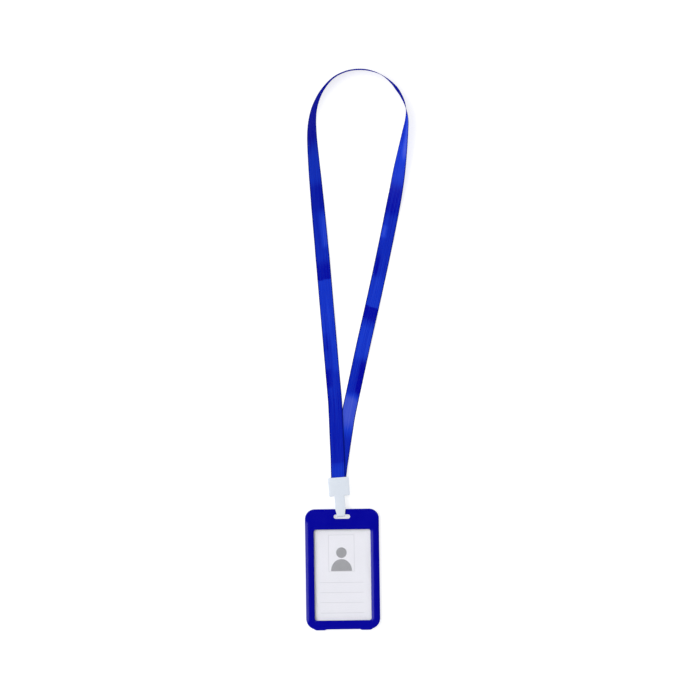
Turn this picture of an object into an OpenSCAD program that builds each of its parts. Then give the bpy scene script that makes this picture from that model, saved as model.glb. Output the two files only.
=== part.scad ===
// Badge lanyard: a satin neck ribbon, a moulded hook clip and a rigid two-part card holder.
// It lies on its back with the surface at z = 0. The holder is centred on X = 0 and +Y runs
// from the holder to the neck loop. The origin is the middle of the holder's back face.

/* [Card] */
// Width of the card
card_w = 54; // [40:0.1:90]
// Height of the card
card_h = 85.6; // [60:0.1:120]
// Thickness of the card
card_t = 0.76; // [0.3:0.02:1]
// Corner radius of the card
card_r = 3.2; // [1:0.1:5]

/* [Holder] */
// How far the frame laps over each edge of the card
card_lip = 1; // [0.5:0.1:2.5]
// Width of the two side rails
rail_w = 8; // [6:0.1:14]
// Height of the header above the window
header_h = 18.7; // [15:0.1:30]
// Height of the sill below the window
sill_h = 8.1; // [6:0.1:16]
// Thickness of the front frame at its ridge
frame_t = 2.6; // [2.4:0.1:5]
// Thickness of the back shell
shell_t = 2.4; // [2.2:0.1:4]
// Thickness of the shell's floor behind the card
floor_t = 1.2; // [0.8:0.1:1.2]
// How far a rail's edges fall below its ridge
rail_fall = 1; // [0.3:0.1:1.2]
// Outer corner radius at the header
top_r = 9; // [4:0.5:12]
// Outer corner radius at the sill
bottom_r = 10; // [4:0.5:12]
// Corner radius of the window
window_r = 2; // [1:0.1:4]
// Width of the recess between the two feet
recess_w = 32.6; // [20:0.1:36]
// Width of each foot
foot_w = 9.5; // [5:0.1:9.5]
// How far the feet stand out
foot_h = 0.8; // [0.4:0.1:2]
// Thickness of the clear window pane
pane_t = 0.6; // [0.3:0.1:0.8]
// How far the pane runs under the frame
pane_lap = 2; // [1:0.1:3]
// Width of the thumb opening in the back
thumb_w = 16; // [12:0.5:24]
// Height of the thumb opening in the back
thumb_h = 26; // [24:0.5:34]

/* [Slot] */
// Width of the hanging slot
slot_w = 15; // [13.5:0.1:18]
// Height of the hanging slot
slot_h = 4; // [3.6:0.1:6]
// Height of the bridge above the slot
bridge_h = 5; // [4:0.1:6]
// Thickness of the bridge
bridge_t = 1.4; // [1:0.1:1.5]

/* [Clip] */
// Width of the clamp box
box_w = 19.3; // [18.8:0.1:26]
// Length of the clamp box
box_l = 17; // [14:0.1:24]
// Distance from the holder's top edge to the clamp box
hook_reach = 12.1; // [11:0.1:18]
// Width of the hook's strap
strap_w = 9.4; // [7:0.1:10]
// Width of the hook where it bends through the slot
bend_w = 7.6; // [6:0.1:9]
// Thickness of the hook
hook_t = 1.4; // [1:0.1:1.6]
// Thickness of the clamp's rear plate
rear_t = 2; // [1.8:0.1:2.2]
// Width of the latch
latch_w = 6; // [4:0.1:7]
// Thickness of the latch
latch_t = 1.2; // [0.8:0.1:1.3]
// How far the clip lies turned in its slot
clip_yaw = 3.5; // [-5:0.5:5]

/* [Ribbon] */
// Width of the ribbon
ribbon_w = 13; // [10:0.1:13.4]
// Thickness of the ribbon
ribbon_t = 0.5; // [0.3:0.05:0.6]

/* [Hidden] */
$fn = 48;

// Room left between pieces that slide or turn on each other
slide_gap = 0.3;
// Room left round a pin in its hole
pin_gap = 0.05;
// Overshoot of a cut past a face
cut = 1;
// Steps in each rounded corner of an outline
corner_steps = 10;

// Holder, measured from its middle
window_w = card_w - 2 * card_lip;
window_h = card_h - 2 * card_lip;
holder_w = window_w + 2 * rail_w;
holder_h = window_h + header_h + sill_h;
holder_t = shell_t + frame_t;
top_y = holder_h / 2;
bottom_y = -holder_h / 2;
window_y = bottom_y + sill_h + window_h / 2;
bridge_y = top_y - bridge_h;
slot_y = bridge_y - slot_h;
bridge_z = holder_t - bridge_t;
pocket_w = card_w + 2 * slide_gap;
pocket_top = window_y + card_h / 2 + slide_gap;
card_z = floor_t + 0.12;
pane_w = window_w + 2 * pane_lap;
pane_h = window_h + 2 * pane_lap;
foot_x = recess_w / 2 + foot_w / 2;
peg_r = 1;
peg_h = 1.1;
peg_x = (pocket_w / 2 + holder_w / 2) / 2;
peg_y = [window_y - window_h / 2 + 6, window_y + window_h / 2 - 6];
thumb_y = window_y - window_h / 2 + thumb_h / 2 + 6;

// Clip, in its own frame: the bridge's lower edge is at 0 and the ribbon mouth at mouth_y
seat_x = -0.9;
seat_gap = 0.8;
strap_z = holder_t + slide_gap;
clip_t = strap_z + hook_t;
bend_y = -seat_gap - hook_t;
box_y = bridge_h + hook_reach;
mouth_y = box_y + box_l;
leg_y = bridge_h + slide_gap;
channel_w = ribbon_w + 2;
wall_w = (box_w - channel_w) / 2;
ceiling_z = strap_z - 0.75;
pad_w = ribbon_w + 0.6;
ply_gap = 0.1;
upper_ply_z = ceiling_z + 0.05 - ribbon_t / 2;
lower_ply_z = upper_ply_z - ribbon_t - ply_gap;
tooth_h = 0.4;
tooth_rows = 4;
pad_z = lower_ply_z - ribbon_t / 2 + 0.1 - tooth_h;
clip_peg_r = 0.7;
clip_peg_h = 1.6;
clip_peg_x = box_w / 2 - wall_w / 2;
clip_peg_y = [box_y + 3.5, mouth_y - 3];
pivot_y = box_y + 1.2;
pivot_z = rear_t / 2;
pivot_r = 0.55;
pivot_l = latch_w + 3.6;
ledge_l = 1.2;

// Lower side of each ply in the clamp, and where the bridge is when the route below is laid
upper_z = upper_ply_z - ribbon_t / 2;
lower_z = lower_ply_z - ribbon_t / 2;
route_bridge_y = 50.2;
// Centre line of the ribbon from the clamp, up the left side, round the neck and down the right
// side: X, Y, height of its lower side above the surface, and its bank about its own run.
// A bank of 0 lies flat, and at 90 it stands on its inner edge.
route = [
    [-2.4, 71, upper_z, 0], [-2.7, 78, upper_z, 0], [-2.9, 84, upper_z, 0], [-3, 89, 3.95, 0],
    [-3.1, 95, 3.3, 0], [-3.2, 104, 2.1, 0], [-3.6, 115, 1.15, 0], [-4, 128, 0.7, 0],
    [-4.4, 142, 0.6, 0], [-5, 156, 0.4, 0], [-7, 183, 0, 0], [-9, 211, 0, 0],
    [-11, 238, 0, 0], [-13, 266, 0, 2], [-15, 293, 0, 9], [-17.2, 321, 0, 17],
    [-19.4, 349, 0, 26], [-21.3, 374, 0, 37], [-22.6, 397, 0, 46], [-22, 413, 0, 59],
    [-19.2, 426, 0, 71], [-13, 439, 0, 81], [-3, 450.4, 0, 88], [8.5, 456.3, 0, 90],
    [20, 458.2, 0, 90], [31, 457.1, 0, 91], [42, 452.8, 0, 95], [52, 444.6, 0, 101],
    [59.4, 434, 0, 102], [63.6, 423, 0, 93], [64.4, 412, 0, 78], [62.8, 400, 0, 65],
    [60.4, 385, 0, 51], [57.5, 368, 0, 34], [54.2, 349, 0, 18], [50.6, 331, 0, 6],
    [45.3, 306, 0, 0], [38.4, 275, 0, 0], [30.2, 240, 0, 0], [22, 206, 0, 0],
    [14.2, 172, 0, 0], [7.6, 143, 0, 0], [4.9, 128, 0.1, 0], [2.7, 115, 0.5, 0],
    [0.9, 104, 1.45, 0], [-0.6, 95, 2.7, 0], [-1.4, 89, 3.35, 0], [-2, 84, lower_z, 0],
    [-2.3, 78, lower_z, 0], [-2.1, 71, lower_z, 0]
];
ribbon_side = ribbon_t / 2;
// The ribbon's section, half round its two edges
section = [
    [-ribbon_w / 2, -ribbon_t / 4], [-ribbon_w / 2 + ribbon_side, -ribbon_t / 2],
    [ribbon_w / 2 - ribbon_side, -ribbon_t / 2], [ribbon_w / 2, -ribbon_t / 4],
    [ribbon_w / 2, ribbon_t / 4], [ribbon_w / 2 - ribbon_side, ribbon_t / 2],
    [-ribbon_w / 2 + ribbon_side, ribbon_t / 2], [-ribbon_w / 2, ribbon_t / 4]
];

// Points of an arc from angle a to angle b, in either direction
function arc(centre, r, a, b) = [
    for (i = [0:corner_steps])
        centre + r * [cos(a + (b - a) * i / corner_steps), sin(a + (b - a) * i / corner_steps)]
];

// Outline of a box from low to high, with its own radius at its top and bottom corners
function rounded_box(low, high, r_low, r_high) = concat(
    arc([high.x - r_low, low.y + r_low], r_low, -90, 0),
    arc([high.x - r_high, high.y - r_high], r_high, 0, 90),
    arc([low.x + r_high, high.y - r_high], r_high, 90, 180),
    arc([low.x + r_low, low.y + r_low], r_low, 180, 270)
);

// A bar along X whose section is a polygon in Y and Z
module bar_x(length, points) {
    rotate([90, 0, 90])
        linear_extrude(length, center = true)
            polygon(points);
}

// Outline shared by the two halves of the holder, with its feet
module holder_outline() {
    polygon(rounded_box([-holder_w / 2, bottom_y], [holder_w / 2, top_y], bottom_r, top_r));
    for (side = [-1, 1])
        translate([side * foot_x, bottom_y])
            polygon([
                [-foot_w / 2, -foot_h], [foot_w / 2, -foot_h],
                [foot_w / 2, bottom_r / 2], [-foot_w / 2, bottom_r / 2]
            ]);
}

// The slot seen from the front
module slot_outline(height) {
    r = slot_h / 2 - 0.01;
    polygon(rounded_box([-slot_w / 2, slot_y], [slot_w / 2, slot_y + height], r, r));
}

module holder_front_frame() {
    rail_l = window_h + 2;
    color("mediumblue")
    difference() {
        translate([0, 0, shell_t])
            linear_extrude(frame_t)
                holder_outline();
        // Window
        translate([0, 0, shell_t - cut])
            linear_extrude(frame_t + 2 * cut)
                translate([0, window_y])
                    polygon(rounded_box(-[window_w, window_h] / 2, [window_w, window_h] / 2,
                                        window_r, window_r));
        // Rebate that the pane sits in
        translate([-pane_w / 2, window_y - pane_h / 2, shell_t - cut])
            cube([pane_w, pane_h, pane_t + cut]);
        // Slot, and the thinning of the bridge behind it
        translate([0, 0, shell_t - cut])
            linear_extrude(frame_t + 2 * cut)
                slot_outline(slot_h);
        translate([-slot_w / 2, slot_y + slot_h / 2, shell_t - cut])
            cube([slot_w, slot_h + bridge_h, bridge_z - shell_t + cut]);
        // Slopes on both sides of each rail's ridge
        for (side = [-1, 1], face = [0, 1])
            mirror([side > 0 ? 1 : 0, 0, 0])
                translate([face == 0 ? -holder_w / 2 : -window_w / 2, window_y, holder_t])
                    mirror([face, 0, 0])
                        rotate([90, 0, 0])
                            linear_extrude(rail_l, center = true)
                                polygon([[-cut, -rail_fall], [0, -rail_fall],
                                         [rail_w / 2 - 0.6, 0], [rail_w / 2 - 0.6, cut],
                                         [-cut, cut]]);
        // Blind holes for the shell's pegs
        for (side = [-1, 1], y = peg_y)
            translate([side * peg_x, y, shell_t - cut])
                cylinder(r = peg_r + pin_gap, h = cut + peg_h + pin_gap);
    }
}

module holder_back_shell() {
    color("mediumblue") {
        difference() {
            linear_extrude(shell_t)
                holder_outline();
            // Pocket, open at the sill so that the card slides out between the feet
            translate([-pocket_w / 2, bottom_y - foot_h - cut, floor_t])
                cube([pocket_w, pocket_top - bottom_y + foot_h + cut, shell_t]);
            // Notch behind the bridge, open at the top edge, where the hook returns
            translate([0, 0, -cut])
                linear_extrude(shell_t + 2 * cut)
                    slot_outline(slot_h + bridge_h + slot_h);
            // Thumb opening
            translate([0, thumb_y, -cut])
                linear_extrude(shell_t + 2 * cut)
                    polygon(rounded_box(-[thumb_w, thumb_h] / 2, [thumb_w, thumb_h] / 2,
                                        thumb_w / 2 - 0.01, thumb_w / 2 - 0.01));
        }
        for (side = [-1, 1], y = peg_y)
            translate([side * peg_x, y, shell_t - peg_r])
                cylinder(r = peg_r, h = peg_r + peg_h);
    }
}

module front_window() {
    color("aliceblue", 0.4)
        translate([-pane_w / 2 + pin_gap, window_y - pane_h / 2 + pin_gap, shell_t])
            cube([pane_w - 2 * pin_gap, pane_h - 2 * pin_gap, pane_t]);
}

module insert_card() {
    color("ghostwhite")
        translate([0, window_y, card_z])
            linear_extrude(card_t)
                polygon(rounded_box(-[card_w, card_h] / 2, [card_w, card_h] / 2, card_r, card_r));
}

// Puts a piece of the clip in the slot
module clip_place() {
    translate([seat_x, bridge_y, 0])
        rotate([0, 0, clip_yaw])
            children();
}

// The clamp box's front: a cap with side walls and a channel between them for the ribbon
module clamp_cap() {
    difference() {
        translate([0, 0, rear_t])
            linear_extrude(clip_t - rear_t)
                polygon(rounded_box([-box_w / 2, box_y], [box_w / 2, mouth_y], 1, 1));
        translate([-channel_w / 2, box_y + wall_w, rear_t - cut])
            cube([channel_w, box_l, ceiling_z - rear_t + cut]);
        for (side = [-1, 1], y = clip_peg_y)
            translate([side * clip_peg_x, y, rear_t - cut])
                cylinder(r = clip_peg_r + pin_gap, h = cut + clip_peg_h + pin_gap);
    }
}

// The hook seen from the side: strap, bend through the slot, and leg behind the bridge
module hook_side() {
    r = 1.9;
    inner_r = 0.6;
    difference() {
        polygon(concat(
            arc([bend_y + r, r], r, 270, 180),
            arc([bend_y + r, clip_t - r], r, 180, 90),
            [[box_y + wall_w, clip_t], [box_y + wall_w, strap_z], [leg_y + ledge_l, strap_z],
             [leg_y + ledge_l, 0]]
        ));
        polygon(concat(
            arc([inner_r - seat_gap, hook_t + inner_r], inner_r, 270, 180),
            arc([inner_r - seat_gap, strap_z - inner_r], inner_r, 180, 90),
            [[box_y, strap_z], [box_y, hook_t / 2], [leg_y, hook_t / 2], [leg_y, hook_t]]
        ));
    }
}

module clip_front() {
    color("lavender")
    clip_place() {
        clamp_cap();
        intersection() {
            rotate([90, 0, 90])
                linear_extrude(strap_w, center = true)
                    hook_side();
            translate([0, 0, -cut])
                linear_extrude(clip_t + 2 * cut)
                    polygon([
                        [-bend_w / 2, bend_y - cut], [bend_w / 2, bend_y - cut],
                        [bend_w / 2, 0.5], [strap_w / 2, bridge_h], [strap_w / 2, mouth_y],
                        [-strap_w / 2, mouth_y], [-strap_w / 2, bridge_h], [-bend_w / 2, 0.5]
                    ]);
        }
    }
}

// One ridge of the clamp's teeth, pointing up
module tooth(y) {
    translate([0, y, pad_z])
        bar_x(pad_w, [[-0.5, -0.2], [0.5, -0.2], [0.5, 0], [0, tooth_h], [-0.5, 0]]);
}

module clip_rear() {
    pad_y = box_y + wall_w + slide_gap;
    pad_l = mouth_y - 0.8 - pad_y;
    color("lavender")
    clip_place() {
        difference() {
            linear_extrude(rear_t)
                polygon(rounded_box([-box_w / 2, box_y], [box_w / 2, mouth_y], 1, 1));
            // Bay for the root of the latch, open at the lower edge
            translate([-latch_w / 2 - slide_gap, box_y - cut, -cut])
                cube([latch_w + 2 * slide_gap, cut + 3, rear_t + 2 * cut]);
            // Bearing for the latch's pins
            translate([0, pivot_y, pivot_z])
                rotate([0, 90, 0])
                    cylinder(r = pivot_r + pin_gap, h = pivot_l + 0.4, center = true);
        }
        translate([-pad_w / 2, pad_y + 1.2, rear_t - 0.5])
            cube([pad_w, pad_l - 1.2, pad_z - rear_t + 0.5]);
        for (row = [0:tooth_rows - 1])
            tooth(pad_y + 2.4 + row * (pad_l - 3.6) / (tooth_rows - 1));
        for (side = [-1, 1], y = clip_peg_y)
            translate([side * clip_peg_x, y, rear_t - clip_peg_r])
                cylinder(r = clip_peg_r, h = clip_peg_r + clip_peg_h);
    }
}

module clip_latch() {
    tip_y = leg_y + slide_gap;
    low_z = pivot_z - latch_t / 2;
    high_z = pivot_z + latch_t / 2;
    ledge_z = hook_t / 2 + 0.1;
    color("lavender")
    clip_place() {
        bar_x(latch_w, [
            [pivot_y, low_z], [pivot_y, high_z], [tip_y, high_z], [tip_y, ledge_z],
            [tip_y + ledge_l, ledge_z], [tip_y + ledge_l, low_z]
        ]);
        translate([0, pivot_y, pivot_z])
            rotate([0, 90, 0]) {
                cylinder(r = latch_t / 2, h = latch_w, center = true);
                cylinder(r = pivot_r, h = pivot_l, center = true);
            }
    }
}

// A smooth curve through four values, at t from the second to the third
function between(a, b, c, d, t) =
    b + t * (c - a) / 2 + t * t * (a - 2.5 * b + 2 * c - d / 2)
    + t * t * t * (1.5 * (b - c) + (d - a) / 2);

// Every route point and one point between each two
function route_at(i, t) =
    between(route[max(i - 1, 0)], route[i], route[min(i + 1, len(route) - 1)],
            route[min(i + 2, len(route) - 1)], t);
function crowded(i) = i < 15 || i > 35;
fine_route = [
    for (i = [0:len(route) - 2], t = crowded(i) ? [0] : [0, 0.5]) route_at(i, t),
    route[len(route) - 1]
];

// Unit direction of the run at ring i, in plan
function run_at(i) =
    let (a = fine_route[max(i - 1, 0)], b = fine_route[min(i + 1, len(fine_route) - 1)],
         d = [b.x - a.x, b.y - a.y])
    d / norm(d);

// Ring i: the section turned by the bank, with its lowest side at the given height
function ring(i) =
    let (p = fine_route[i], run = run_at(i), out = [-run.y, run.x], bank = p[3],
         z = p.z + ribbon_w / 2 * abs(sin(bank)) + ribbon_t / 2 * abs(cos(bank)))
    [
        for (s = section)
            let (across = s.x * cos(bank) - s.y * sin(bank), up = s.x * sin(bank) + s.y * cos(bank))
            [p.x + out.x * across, p.y + out.y * across, z + up]
    ];

// The two triangles between four ring points. The upper and lower sides of the ribbon are split
// along the same diagonal, so that a twisted stretch keeps its thickness.
function split(a, b, c, d, upper) = upper ? [[a, b, d], [b, c, d]] : [[a, b, c], [a, c, d]];

module neck_ribbon() {
    sides = len(section);
    rings = len(fine_route);
    color("royalblue")
    translate([0, bridge_y - route_bridge_y, 0])
        polyhedron(
            points = [for (i = [0:rings - 1]) each ring(i)],
            faces = concat(
                [[for (k = [0:sides - 1]) k]],
                [for (i = [0:rings - 2], k = [0:sides - 1])
                    let (this = i * sides, next = this + sides, k2 = (k + 1) % sides)
                    each split(this + k, next + k, next + k2, this + k2, k >= sides / 2)],
                [[for (k = [sides - 1:-1:0]) (rings - 1) * sides + k]]
            ),
            convexity = 8
        );
}

neck_ribbon();
clip_front();
clip_rear();
clip_latch();
holder_front_frame();
holder_back_shell();
front_window();
insert_card();
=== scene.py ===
"""The looks of a badge lanyard: a satin neck ribbon, a moulded hook clip and a rigid card holder.

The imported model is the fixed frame. Each sub-assembly is a class that holds its sizes in
millimetres, builds its meshes as numpy surfaces and dresses them in its finishes.
"""

import logging
from dataclasses import dataclass
from enum import Enum
from typing import Any, Sequence

import bpy
import numpy as np
from mathutils import Matrix


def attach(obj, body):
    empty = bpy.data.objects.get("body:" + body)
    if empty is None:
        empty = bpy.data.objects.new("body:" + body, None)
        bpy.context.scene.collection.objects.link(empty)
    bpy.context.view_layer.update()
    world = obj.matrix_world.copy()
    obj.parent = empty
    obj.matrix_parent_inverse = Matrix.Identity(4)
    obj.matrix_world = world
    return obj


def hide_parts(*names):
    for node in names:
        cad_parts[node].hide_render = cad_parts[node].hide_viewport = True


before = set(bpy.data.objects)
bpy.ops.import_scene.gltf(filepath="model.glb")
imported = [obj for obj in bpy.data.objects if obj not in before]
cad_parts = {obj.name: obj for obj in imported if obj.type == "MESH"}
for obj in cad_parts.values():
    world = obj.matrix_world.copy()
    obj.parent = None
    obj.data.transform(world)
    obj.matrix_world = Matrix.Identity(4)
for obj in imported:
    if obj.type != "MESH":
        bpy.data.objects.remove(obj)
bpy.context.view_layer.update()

MM = 0.001
LOG = logging.getLogger("lanyard")

Array = np.ndarray
Mesh = bpy.types.Object


class Body(Enum):
    """The bodies that pieces ride on."""

    LANYARD = "lanyard"
    LATCH = "latch"
    HOLDER = "holder"
    CARD = "card"


class Slot(Enum):
    """The record's material slots."""

    RIBBON = "ribbon_satin"
    CLIP = "clip_plastic"
    HOLDER = "holder_plastic"
    WINDOW = "window_clear"
    CARD = "card_stock"


class Carve(Enum):
    """How a tool shape acts on a piece."""

    CUT = "DIFFERENCE"
    JOIN = "UNION"


class Axis(Enum):
    """The direction that an outline is carried in: the order of its coordinates and that one."""

    UP = (0, 1, 2)
    ACROSS = (2, 0, 1)


class Drift(Enum):
    """Which of a finish's two patterns its roughness follows."""

    CLOUD = 0
    GRAIN = 1


class Strand(Enum):
    """The ribbon's two strands, between the clamp and the top of the neck loop."""

    LEFT = 0
    RIGHT = 1


class Edge(Enum):
    """An edge of the ribbon, inside the loop or outside it, or its whole width."""

    INNER = -1
    WHOLE = 0
    OUTER = 1


# Numbers --------------------------------------------------------------------------------------


def srgb(code: str) -> tuple[float, float, float, float]:
    """Turn a hex colour such as "1a2b3c" into linear red, green, blue and a full alpha.

    Args:
        code: Six hex digits, in sRGB.

    Returns:
        The linear colour.
    """
    values = np.array([int(code[i : i + 2], 16) for i in (0, 2, 4)]) / 255
    linear = np.where(values <= 0.04045, values / 12.92, ((values + 0.055) / 1.055) ** 2.4)
    return (*linear.tolist(), 1.0)


def rise(low: float, high: float, value: Array) -> Array:
    """A smooth step, from 0 at low to 1 at high."""
    t = np.clip((value - low) / (high - low), 0.0, 1.0)
    return t * t * (3.0 - 2.0 * t)


def hump(low: float, high: float, fade: float, value: Array) -> Array:
    """1 between low and high, falling smoothly to 0 within fade inside each."""
    return rise(low, low + fade, value) * (1.0 - rise(high - fade, high, value))


def arc(centre: Sequence[float], radius: float, start: float, end: float, steps: int) -> Array:
    """Points on an arc.

    Args:
        centre: Its centre.
        radius: Its radius.
        start: The angle of its first point, in degrees.
        end: The angle of its last point, in degrees.
        steps: How many steps it has.

    Returns:
        The points, one row each.
    """
    turn = np.radians(np.linspace(start, end, steps + 1))
    return np.asarray(centre) + radius * np.stack([np.cos(turn), np.sin(turn)], axis=-1)


def border(
    low: Sequence[float],
    high: Sequence[float],
    r_low: float,
    r_high: float,
    corner: int = 10,
    across: int = 0,
    up: int = 0,
) -> Array:
    """Outline of a box with round corners, anticlockwise from the start of its lower right corner.

    Four arcs, with evenly spaced points on the straight runs between them.

    Args:
        low: Its lowest corner.
        high: Its highest corner.
        r_low: Radius of its two lower corners.
        r_high: Radius of its two upper corners.
        corner: Steps in each corner.
        across: Points inside each of the upper and lower runs.
        up: Points inside each of the side runs.

    Returns:
        The outline's points.
    """
    arcs = [
        arc((high[0] - r_low, low[1] + r_low), r_low, -90, 0, corner),
        arc((high[0] - r_high, high[1] - r_high), r_high, 0, 90, corner),
        arc((low[0] + r_high, high[1] - r_high), r_high, 90, 180, corner),
        arc((low[0] + r_low, low[1] + r_low), r_low, 180, 270, corner),
    ]
    parts = []
    for i, count in enumerate((up, across, up, across)):
        share = np.linspace(0, 1, count + 2)[1:-1, None]
        parts += [arcs[i], arcs[i][-1] * (1 - share) + arcs[(i + 1) % 4][0] * share]
    return np.concatenate(parts)


def outward(outline: Array) -> Array:
    """Directions out of an anticlockwise outline, long enough to keep an offset's wall even.

    Each is the mean of the normals of the two sides that meet there, divided by its share of
    either of them.

    Args:
        outline: The outline's points.

    Returns:
        A direction for each point.
    """
    before = outline - np.roll(outline, 1, axis=0)
    after = np.roll(outline, -1, axis=0) - outline
    sides = [s / np.maximum(np.linalg.norm(s, axis=1, keepdims=True), 1e-9) for s in (before, after)]
    normals = [np.stack([s[:, 1], -s[:, 0]], axis=-1) for s in sides]
    mean = normals[0] + normals[1]
    mean /= np.maximum(np.linalg.norm(mean, axis=1, keepdims=True), 1e-9)
    return mean / np.clip((mean * normals[0]).sum(1, keepdims=True), 0.5, 1.0)


def round_profile(low: float, high: float, r_low: float, r_high: float, steps: int = 5) -> Array:
    """Profile of a plate with its lower and upper edges rounded by quarter circles.

    Args:
        low: Height of the lower face.
        high: Height of the upper face.
        r_low: Radius of the lower edge.
        r_high: Radius of the upper edge.
        steps: Steps in each quarter.

    Returns:
        Rows of how far the wall lies inside the outline, and its height.
    """
    turn = np.linspace(0, np.pi / 2, steps + 1)
    lower = np.stack([r_low * (1 - np.sin(turn)), low + r_low * (1 - np.cos(turn))], axis=-1)
    upper = np.stack([r_high * (1 - np.cos(turn)), high - r_high * (1 - np.sin(turn))], axis=-1)
    return np.concatenate([lower, upper])


def plate_profile(low: float, high: float, edge: float, steps: int = 3, rim: float = 1.0) -> Array:
    """Profile of a thin plate with rounded edges, whose flat faces start with a level rim.

    Args:
        low: Height of the lower face.
        high: Height of the upper face.
        edge: Radius of both edges.
        steps: Steps in each edge.
        rim: How far inside the outline the rim ends.

    Returns:
        Rows of how far the wall lies inside the outline, and its height.
    """
    edges = round_profile(low, high, edge, edge, steps)
    return np.concatenate([[[rim, low]], edges, [[rim, high]]])


def flared_profile(low: float, high: float, rim: float, steps: int = 5) -> Array:
    """Profile of a cutter that leaves rounded rims at both faces of a wall.

    The cutter widens by a quarter circle towards each face and passes a millimetre beyond it.

    Args:
        low: Height of the wall's lower face.
        high: Height of its upper face.
        rim: Radius of both rims.
        steps: Steps in each quarter.

    Returns:
        Rows of inset, which is negative where the cutter widens, and height.
    """
    turn = np.linspace(0, np.pi / 2, steps + 1)
    upper = np.stack([-rim * (1 - np.cos(turn)), high - rim + rim * np.sin(turn)], axis=-1)
    lower = np.stack([upper[:, 0], low + high - upper[:, 1]], axis=-1)[::-1]
    return np.concatenate([[[-rim, low - 1]], lower, upper, [[-rim, high + 1]]])


# Meshes ---------------------------------------------------------------------------------------


def make_rings(name: str, rings: Array, loop: bool = False) -> Mesh:
    """Make a closed solid from rings of points, with quads between them.

    Args:
        name: The piece's name.
        rings: Ring by point by coordinate, in millimetres.
        loop: Whether the last ring joins the first. If not, both end rings are closed by a face.

    Returns:
        The new object, at the origin, with its faces outwards and its mesh in millimetres.
    """
    count, sides, _ = rings.shape
    i, k = np.meshgrid(np.arange(count if loop else count - 1), np.arange(sides), indexing="ij")
    j, m = (i + 1) % count, (k + 1) % sides
    quads = np.stack([i * sides + k, j * sides + k, j * sides + m, i * sides + m], axis=-1)
    faces = quads.reshape(-1, 4).tolist()
    if not loop:
        first = np.arange(sides)
        faces += [first.tolist(), (first[::-1] + (count - 1) * sides).tolist()]
    mesh = bpy.data.meshes.new(name)
    mesh.from_pydata(rings.reshape(-1, 3).tolist(), [], faces)
    mesh.update()
    obj = bpy.data.objects.new(name, mesh)
    bpy.context.scene.collection.objects.link(obj)
    face_out(obj)
    return obj


def face_out(obj: Mesh) -> None:
    """Turn the faces of a closed mesh outwards, where the sum of its cones says they point in.

    Args:
        obj: The piece. The cones stand on its triangles and have their tips at the origin.
    """
    mesh = obj.data
    mesh.calc_loop_triangles()
    points = np.zeros(len(mesh.vertices) * 3)
    mesh.vertices.foreach_get("co", points)
    corners = np.zeros(len(mesh.loop_triangles) * 3, np.int32)
    mesh.loop_triangles.foreach_get("vertices", corners)
    tri = points.reshape(-1, 3)[corners.reshape(-1, 3)]
    if np.einsum("ij,ij->", tri[:, 0], np.cross(tri[:, 1], tri[:, 2])) < 0:
        mesh.flip_normals()


def loft(name: str, outline: Array, profile: Array, axis: Axis = Axis.UP) -> Mesh:
    """Carry an outline along an axis through a profile, as a closed plate.

    Args:
        name: The piece's name.
        outline: The plate's outline, anticlockwise.
        profile: Rows of how far the outline lies inside itself, and the place along the axis.
        axis: The axis.

    Returns:
        The plate.
    """
    flat = outline[None] - outward(outline)[None] * profile[:, :1, None]
    height = np.broadcast_to(profile[:, 1, None, None], flat.shape[:2] + (1,))
    rings = np.concatenate([flat, height], axis=-1)
    return make_rings(name, rings[..., list(axis.value)])


def rod(x: float, y: float, radius: float, low: float, high: float, edge: float = 0.0) -> Mesh:
    """An upright round rod.

    Args:
        x: Its place across.
        y: Its place up the table.
        radius: Its radius.
        low: Height of its lower end.
        high: Height of its upper end.
        edge: Radius of the edges at its ends.

    Returns:
        The rod.
    """
    ring = arc((x, y), radius, 0, 360, 24)[:-1]
    ends = round_profile(low, high, edge, edge, 2) if edge else np.array([[0, low], [0, high]])
    return loft("rod", ring, ends)


def four_rods(
    places: tuple[float, float, float], radius: float, low: float, high: float, edge: float = 0.0
) -> list[Mesh]:
    """Four upright rods, as the pegs that hold two halves together or as their bores.

    Args:
        places: How far they stand to either side of the middle, and their two places in y.
        radius: Their radius.
        low: Height of their lower ends.
        high: Height of their upper ends.
        edge: Radius of the edges at their ends.

    Returns:
        The rods.
    """
    x, *rows = places
    return [rod(side * x, y, radius, low, high, edge) for side in (-1, 1) for y in rows]


def block(low: Sequence[float], high: Sequence[float], edge: float = 0.0) -> Mesh:
    """A box.

    Args:
        low: Its lowest corner.
        high: Its highest corner.
        edge: Radius of its level edges. Its upright ones have half as much again.

    Returns:
        The box.
    """
    if edge:
        ring = border(low[:2], high[:2], 1.5 * edge, 1.5 * edge, 3)
        return loft("block", ring, round_profile(low[2], high[2], edge, edge, 2))
    ring = np.array([(low[0], low[1]), (high[0], low[1]), (high[0], high[1]), (low[0], high[1])])
    return loft("block", ring, np.array([[0.0, low[2]], [0.0, high[2]]]))


def carve(obj: Mesh, how: Carve, *tools: Mesh) -> Mesh:
    """Cut closed tool shapes out of a piece, or join them to it, and remove the tools.

    Args:
        obj: The piece, which keeps its name.
        how: Whether the tools are cut out or joined.
        tools: The tool shapes.

    Returns:
        The piece.
    """
    for tool in tools:
        mod = obj.modifiers.new("carve", "BOOLEAN")
        mod.operation = how.value
        mod.solver = "EXACT"
        mod.object = tool
    solid = obj.evaluated_get(bpy.context.evaluated_depsgraph_get())
    mesh = bpy.data.meshes.new_from_object(solid)
    obj.modifiers.clear()
    spent = [obj.data, *(tool.data for tool in tools)]
    obj.data = mesh
    for old in spent:
        bpy.data.meshes.remove(old)
    mesh.name = obj.name
    return obj


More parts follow.
